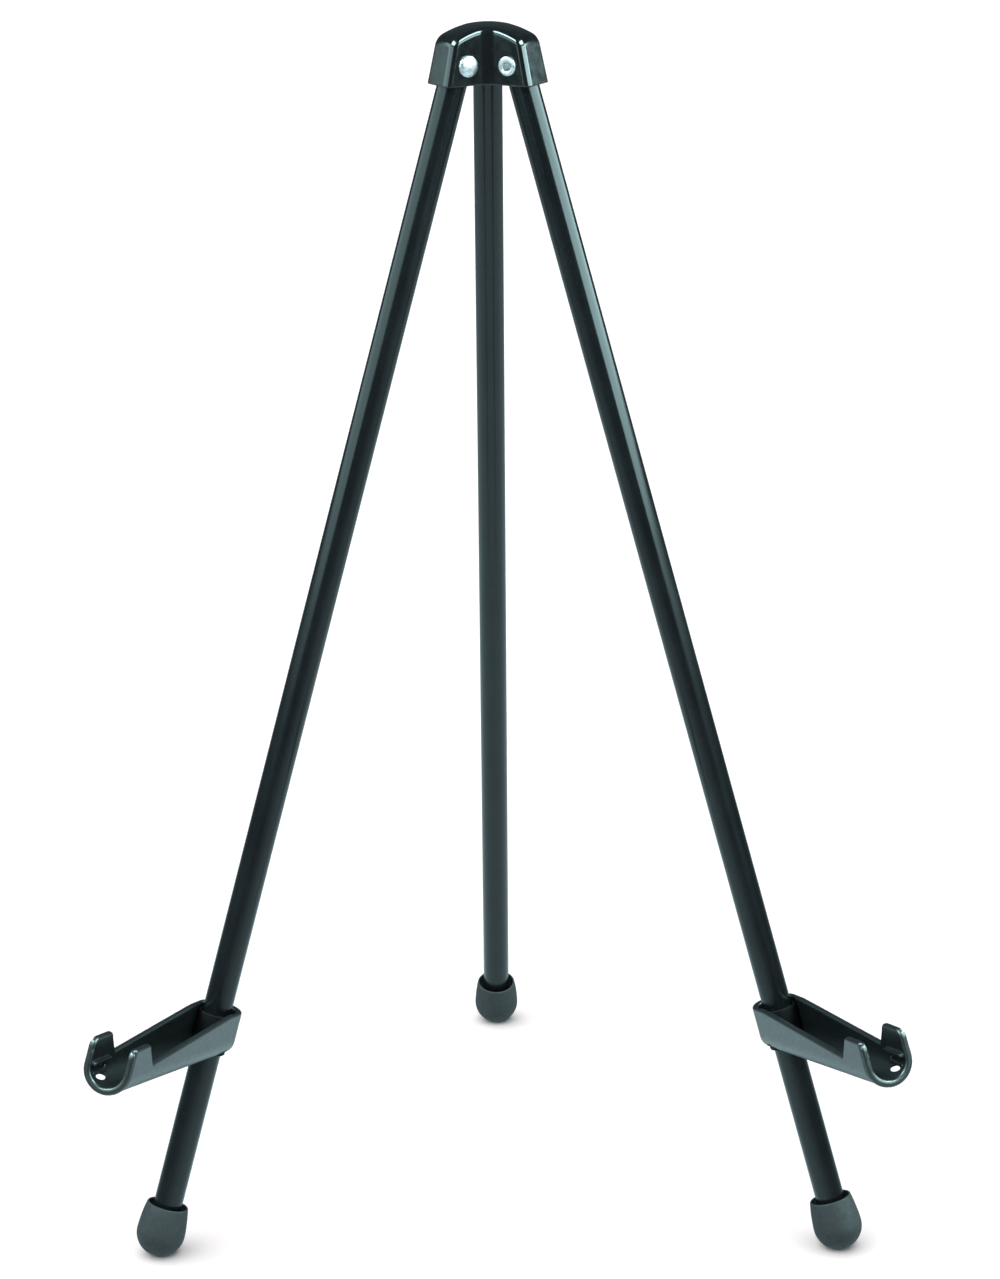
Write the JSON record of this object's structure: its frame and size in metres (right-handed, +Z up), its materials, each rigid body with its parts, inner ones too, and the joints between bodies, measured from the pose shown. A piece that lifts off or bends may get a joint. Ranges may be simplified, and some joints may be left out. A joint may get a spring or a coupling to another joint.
{
  "type": "tabletop display easel",
  "caption": "Folding tabletop tripod easel with a lobed black cap, round tube legs, rubber feet and two sliding trough holders with end tabs.",
  "frame": {"origin": "on the floor, under the middle of the whole object", "axes": "+Z up, +Y towards the back leg, so the two front legs and their holders are towards -Y"},
  "size_m": [0.2272, 0.2478, 0.356],
  "materials": {
    "cap_enamel": "gloss black enamel",
    "tube_enamel": "semi-gloss black enamel",
    "foot_rubber": "matte charcoal",
    "holder_plastic": "satin dark grey, fine grain",
    "sleeve_plastic": "matte black",
    "rivet_steel": "bright nickel plate",
    "washer_nylon": "matte black"
  },
  "bodies": {
    "head": {"head_cap": "cap_enamel", "pivot_rivet_left": "rivet_steel", "pivot_rivet_right": "rivet_steel", "pivot_rivet_back": "rivet_steel", "pivot_washer_left_a": "washer_nylon", "pivot_washer_left_b": "washer_nylon", "pivot_washer_right_a": "washer_nylon", "pivot_washer_right_b": "washer_nylon", "pivot_washer_back_a": "washer_nylon", "pivot_washer_back_b": "washer_nylon"},
    "leg_left": {"leg_tube_left": "tube_enamel", "rubber_foot_left": "foot_rubber"},
    "leg_right": {"leg_tube_right": "tube_enamel", "rubber_foot_right": "foot_rubber"},
    "leg_back": {"leg_tube_back": "tube_enamel", "rubber_foot_back": "foot_rubber"},
    "sleeve_left": {"grip_sleeve_left": "sleeve_plastic"},
    "sleeve_right": {"grip_sleeve_right": "sleeve_plastic"},
    "holder_left": {"board_holder_left": "holder_plastic"},
    "holder_right": {"board_holder_right": "holder_plastic"}
  },
  "joints": [
    {"name": "fold_left", "type": "hinge", "parent": "head", "child": "leg_left", "pos_m": [-0.00866, -0.00438, 0.3447], "axis": [0.5, -0.866, 0], "range_deg": [0, 17.4]},
    {"name": "fold_right", "type": "hinge", "parent": "head", "child": "leg_right", "pos_m": [0.00866, -0.00438, 0.3447], "axis": [0.5, 0.866, 0], "range_deg": [0, 17.4]},
    {"name": "fold_back", "type": "hinge", "parent": "head", "child": "leg_back", "pos_m": [0, 0.01062, 0.3447], "axis": [-1, 0, 0], "range_deg": [0, 17.4]},
    {"name": "slide_left", "type": "slide", "parent": "leg_left", "child": "sleeve_left", "axis": [0.2595, 0.1498, 0.954], "range_m": [-0.046, 0.271]},
    {"name": "slide_right", "type": "slide", "parent": "leg_right", "child": "sleeve_right", "axis": [-0.2595, 0.1498, 0.954], "range_m": [-0.046, 0.271]},
    {"name": "swivel_left", "type": "hinge", "parent": "sleeve_left", "child": "holder_left", "pos_m": [-0.08418, -0.04798, 0.06707], "axis": [0.2595, 0.1498, 0.954], "range_deg": [-101, 19]},
    {"name": "swivel_right", "type": "hinge", "parent": "sleeve_right", "child": "holder_right", "pos_m": [0.08418, -0.04798, 0.06707], "axis": [0.2595, -0.1498, -0.954], "range_deg": [-101, 19]}
  ]
}
